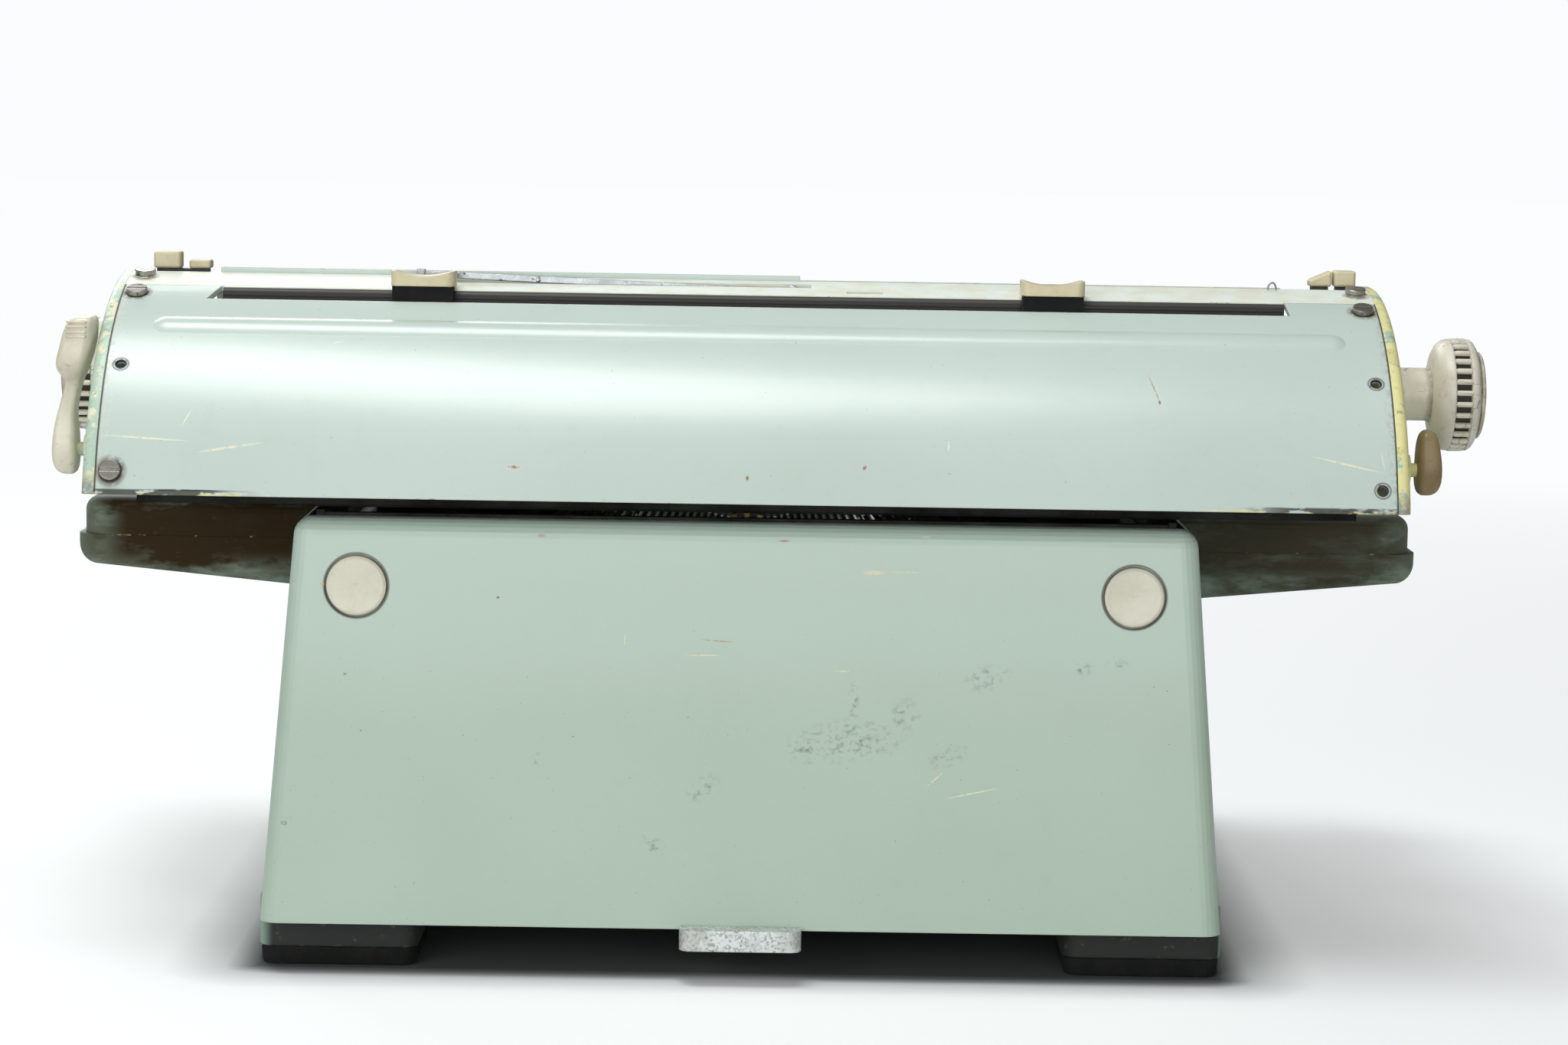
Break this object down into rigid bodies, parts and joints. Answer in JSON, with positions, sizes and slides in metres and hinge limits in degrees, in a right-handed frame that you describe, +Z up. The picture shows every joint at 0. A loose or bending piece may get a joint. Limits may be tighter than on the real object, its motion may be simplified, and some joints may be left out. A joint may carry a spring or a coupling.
{
  "type": "manual typewriter",
  "caption": "Office manual typewriter with a wide carriage under a curved green rear cover, ribbed cream platen knobs, winged deck, keyboard, type basket and sliding margin stops.",
  "frame": {"origin": "on the table, under the middle of the whole machine's bounding box", "axes": "+X to the typist's right, -Y towards the keyboard and the typist, +Y towards the rear cover, +Z up"},
  "size_m": [0.5326, 0.381, 0.2517],
  "materials": {
    "sage_enamel": "semi-gloss sage green enamel",
    "pale_enamel": "semi-gloss pale green enamel",
    "grimy_enamel": "worn green enamel with brown grime",
    "primer_cap": "green enamel flaked to pale yellow primer",
    "cream_plastic": "cream moulded plastic",
    "cream_knob": "aged cream moulded plastic",
    "key_plastic": "cream key plastic",
    "wide_key_plastic": "grey-green key plastic",
    "black_rubber": "matt black rubber",
    "black_enamel": "black japanned steel",
    "frame_steel": "dark cast frame",
    "lever_steel": "dull plated steel",
    "bright_chrome": "chromium plate",
    "silver_paint": "speckled silver paint",
    "brass": "dull brass",
    "bell_metal": "nickelled bell metal",
    "ribbon_cloth": "inked cotton ribbon"
  },
  "bodies": {
    "chassis": {"main_housing": "sage_enamel", "housing_plugs": "cream_plastic", "bottom_pan": "black_enamel", "side_frames": "frame_steel", "inner_frame": "frame_steel", "foot_brackets": "grimy_enamel", "rubber_feet": "black_rubber", "rear_lip": "silver_paint", "deck_lower": "grimy_enamel", "deck_upper": "grimy_enamel", "keyboard_surround": "sage_enamel", "key_comb": "lever_steel", "fulcrum_rod": "lever_steel", "carriage_rail": "lever_steel", "spool_cups": "lever_steel", "bell": "bell_metal", "ribbon": "ribbon_cloth"},
    "ribbon_lid": {"ribbon_cover": "sage_enamel"},
    "keys_row_1": {"key_row_1": "key_plastic"},
    "keys_row_2": {"key_row_2": "key_plastic"},
    "keys_row_3": {"key_row_3": "key_plastic"},
    "keys_row_4": {"key_row_4": "key_plastic"},
    "letter_key": {"middle_key": "key_plastic"},
    "space_key": {"space_bar": "key_plastic"},
    "shift_left": {"shift_key_left": "wide_key_plastic"},
    "shift_right": {"shift_key_right": "wide_key_plastic"},
    "shift_lock": {"shift_lock_key": "wide_key_plastic"},
    "backspace": {"backspace_key": "wide_key_plastic"},
    "tabulator": {"tabulator_key": "wide_key_plastic"},
    "margin_release": {"margin_release_key": "wide_key_plastic"},
    "spool_left": {"ribbon_spool_left": "frame_steel"},
    "spool_right": {"ribbon_spool_right": "frame_steel"},
    "mainspring": {"mainspring_drum": "lever_steel"},
    "escapement": {"escapement_wheel": "brass"},
    "type_basket": {"segment": "frame_steel", "typebars": "lever_steel", "type_guide": "lever_steel"},
    "struck_typebar": {"middle_typebar": "lever_steel"},
    "carriage": {"carriage_frame": "frame_steel", "rear_cover": "pale_enamel", "end_cap_left": "primer_cap", "end_cap_right": "primer_cap", "cover_screws": "lever_steel", "paper_table": "pale_enamel", "margin_rail": "pale_enamel"},
    "stop_left": {"margin_stop_left": "cream_plastic"},
    "stop_right": {"margin_stop_right": "cream_plastic"},
    "platen_roll": {"platen": "black_rubber", "knob_left": "cream_knob", "knob_right": "cream_knob"},
    "feed_front": {"feed_roller_front": "black_rubber"},
    "feed_rear": {"feed_roller_rear": "black_rubber"},
    "bail": {"paper_bail": "bright_chrome"},
    "support": {"paper_support": "bright_chrome"},
    "release_left": {"release_lever_left": "cream_knob"},
    "release_right": {"release_lever_right": "cream_knob"},
    "line_lever": {"return_lever": "bright_chrome"},
    "paper_release": {"paper_release_lever": "cream_plastic"},
    "line_selector": {"line_space_selector": "cream_plastic"},
    "ratchet_release": {"ratchet_release_lever": "cream_plastic"}
  },
  "joints": [
    {"name": "lid_hinge", "type": "hinge", "parent": "chassis", "child": "ribbon_lid", "pos_m": [0.00925, -0.0795, 0.1545], "axis": [1, 0, 0], "range_deg": [0, 75]},
    {"name": "row_1_press", "type": "hinge", "parent": "chassis", "child": "keys_row_1", "pos_m": [0.00925, 0.12, 0.045], "axis": [1, 0, 0], "range_deg": [0, 3.1], "stiffness_Nm_per_rad": 6, "springref_deg": -17.19},
    {"name": "row_2_press", "type": "hinge", "parent": "chassis", "child": "keys_row_2", "pos_m": [0.00925, 0.12, 0.045], "axis": [1, 0, 0], "range_deg": [0, 3.1], "stiffness_Nm_per_rad": 6, "springref_deg": -17.19},
    {"name": "row_3_press", "type": "hinge", "parent": "chassis", "child": "keys_row_3", "pos_m": [0.00925, 0.12, 0.045], "axis": [1, 0, 0], "range_deg": [0, 3.1], "stiffness_Nm_per_rad": 6, "springref_deg": -17.19},
    {"name": "row_4_press", "type": "hinge", "parent": "chassis", "child": "keys_row_4", "pos_m": [0.00925, 0.12, 0.045], "axis": [1, 0, 0], "range_deg": [0, 3.1], "stiffness_Nm_per_rad": 6, "springref_deg": -17.19},
    {"name": "letter_press", "type": "hinge", "parent": "chassis", "child": "letter_key", "pos_m": [0.00925, 0.12, 0.045], "axis": [1, 0, 0], "range_deg": [0, 3.1], "stiffness_Nm_per_rad": 1.5, "springref_deg": -17.19},
    {"name": "space_press", "type": "hinge", "parent": "chassis", "child": "space_key", "pos_m": [0.00925, 0.12, 0.045], "axis": [1, 0, 0], "range_deg": [0, 2.6], "stiffness_Nm_per_rad": 3, "springref_deg": -17.19},
    {"name": "shift_press", "type": "hinge", "parent": "chassis", "child": "shift_left", "pos_m": [0.00925, 0.12, 0.045], "axis": [1, 0, 0], "range_deg": [0, 3.1], "stiffness_Nm_per_rad": 12, "springref_deg": -17.19},
    {"name": "shift_right_press", "type": "hinge", "parent": "chassis", "child": "shift_right", "pos_m": [0.00925, 0.12, 0.045], "axis": [1, 0, 0], "range_deg": [0, 3.1]},
    {"name": "shift_lock_press", "type": "hinge", "parent": "chassis", "child": "shift_lock", "pos_m": [0.00925, 0.12, 0.045], "axis": [1, 0, 0], "range_deg": [0, 3.1]},
    {"name": "backspace_press", "type": "hinge", "parent": "chassis", "child": "backspace", "pos_m": [0.00925, 0.12, 0.045], "axis": [1, 0, 0], "range_deg": [0, 3.1], "stiffness_Nm_per_rad": 1, "springref_deg": -17.19},
    {"name": "tabulator_press", "type": "hinge", "parent": "chassis", "child": "tabulator", "pos_m": [0.00925, 0.12, 0.045], "axis": [1, 0, 0], "range_deg": [0, 3.1], "stiffness_Nm_per_rad": 1, "springref_deg": -17.19},
    {"name": "margin_release_press", "type": "hinge", "parent": "chassis", "child": "margin_release", "pos_m": [0.00925, 0.12, 0.045], "axis": [1, 0, 0], "range_deg": [0, 3.1], "stiffness_Nm_per_rad": 1, "springref_deg": -17.19},
    {"name": "spool_left_turn", "type": "hinge", "parent": "chassis", "child": "spool_left", "pos_m": [-0.10875, -0.014, 0.15], "axis": [0, 0, 1], "continuous": true},
    {"name": "spool_right_turn", "type": "hinge", "parent": "chassis", "child": "spool_right", "pos_m": [0.12725, -0.014, 0.15], "axis": [0, 0, 1], "continuous": true},
    {"name": "mainspring_turn", "type": "hinge", "parent": "chassis", "child": "mainspring", "pos_m": [-0.08675, 0.136, 0.122], "axis": [0, 1, 0], "range_deg": [-330, 330]},
    {"name": "escapement_turn", "type": "hinge", "parent": "chassis", "child": "escapement", "pos_m": [0.00925, 0.155, 0.146], "axis": [0, 1, 0], "range_deg": [-560, 560]},
    {"name": "basket_shift", "type": "slide", "parent": "chassis", "child": "type_basket", "axis": [0, 0, -1], "range_m": [0, 0.0065]},
    {"name": "typebar_strike", "type": "hinge", "parent": "type_basket", "child": "struck_typebar", "pos_m": [0.00925, 0.055, 0.13], "axis": [-1, 0, 0], "range_deg": [0, 80]},
    {"name": "carriage_slide", "type": "slide", "parent": "chassis", "child": "carriage", "axis": [1, 0, 0], "range_m": [-0.16, 0.16]},
    {"name": "stop_left_slide", "type": "slide", "parent": "carriage", "child": "stop_left", "axis": [1, 0, 0], "range_m": [-0.07, 0.094]},
    {"name": "stop_right_slide", "type": "slide", "parent": "carriage", "child": "stop_right", "axis": [1, 0, 0], "range_m": [-0.103, 0.061]},
    {"name": "platen_turn", "type": "hinge", "parent": "carriage", "child": "platen_roll", "pos_m": [0.00925, 0.08, 0.205], "axis": [1, 0, 0], "continuous": true},
    {"name": "feed_front_turn", "type": "hinge", "parent": "carriage", "child": "feed_front", "pos_m": [0.00925, 0.06477, 0.18479], "axis": [1, 0, 0], "continuous": true},
    {"name": "feed_rear_turn", "type": "hinge", "parent": "carriage", "child": "feed_rear", "pos_m": [0.00925, 0.09523, 0.18479], "axis": [1, 0, 0], "continuous": true},
    {"name": "bail_swing", "type": "hinge", "parent": "carriage", "child": "bail", "pos_m": [0.00925, 0.056, 0.172], "axis": [1, 0, 0], "range_deg": [0, 18]},
    {"name": "support_swing", "type": "hinge", "parent": "carriage", "child": "support", "pos_m": [-0.00575, 0.112, 0.241], "axis": [0, -1, 0], "range_deg": [0, 85]},
    {"name": "release_left_swing", "type": "hinge", "parent": "carriage", "child": "release_left", "pos_m": [-0.22875, 0.15, 0.183], "axis": [1, 0, 0], "range_deg": [0, 18]},
    {"name": "release_right_swing", "type": "hinge", "parent": "carriage", "child": "release_right", "pos_m": [0.24725, 0.15, 0.183], "axis": [1, 0, 0], "range_deg": [0, 18]},
    {"name": "line_lever_swing", "type": "hinge", "parent": "carriage", "child": "line_lever", "pos_m": [-0.21275, 0.046, 0.204], "axis": [0, 0, 1], "range_deg": [0, 34], "stiffness_Nm_per_rad": 0.3, "springref_deg": -17.19},
    {"name": "paper_release_swing", "type": "hinge", "parent": "carriage", "child": "paper_release", "pos_m": [0.22325, 0.095, 0.212], "axis": [1, 0, 0], "range_deg": [0, 15]},
    {"name": "line_selector_swing", "type": "hinge", "parent": "carriage", "child": "line_selector", "pos_m": [-0.20275, 0.095, 0.212], "axis": [1, 0, 0], "range_deg": [0, 15]},
    {"name": "ratchet_release_swing", "type": "hinge", "parent": "carriage", "child": "ratchet_release", "pos_m": [-0.21325, 0.095, 0.212], "axis": [1, 0, 0], "range_deg": [0, 15]}
  ],
  "couplings": [
    {"joint": "shift_right_press", "follows": "shift_press", "ratio": 1},
    {"joint": "shift_lock_press", "follows": "shift_press", "ratio": 1},
    {"joint": "basket_shift", "follows": "shift_press", "m_per_rad": 0.12},
    {"joint": "typebar_strike", "follows": "letter_press", "ratio": 25.8},
    {"joint": "spool_right_turn", "follows": "spool_left_turn", "ratio": 1},
    {"joint": "mainspring_turn", "follows": "carriage_slide", "rad_per_m": 34.48},
    {"joint": "escapement_turn", "follows": "carriage_slide", "rad_per_m": 58},
    {"joint": "feed_front_turn", "follows": "platen_turn", "ratio": -4},
    {"joint": "feed_rear_turn", "follows": "platen_turn", "ratio": -4}
  ]
}
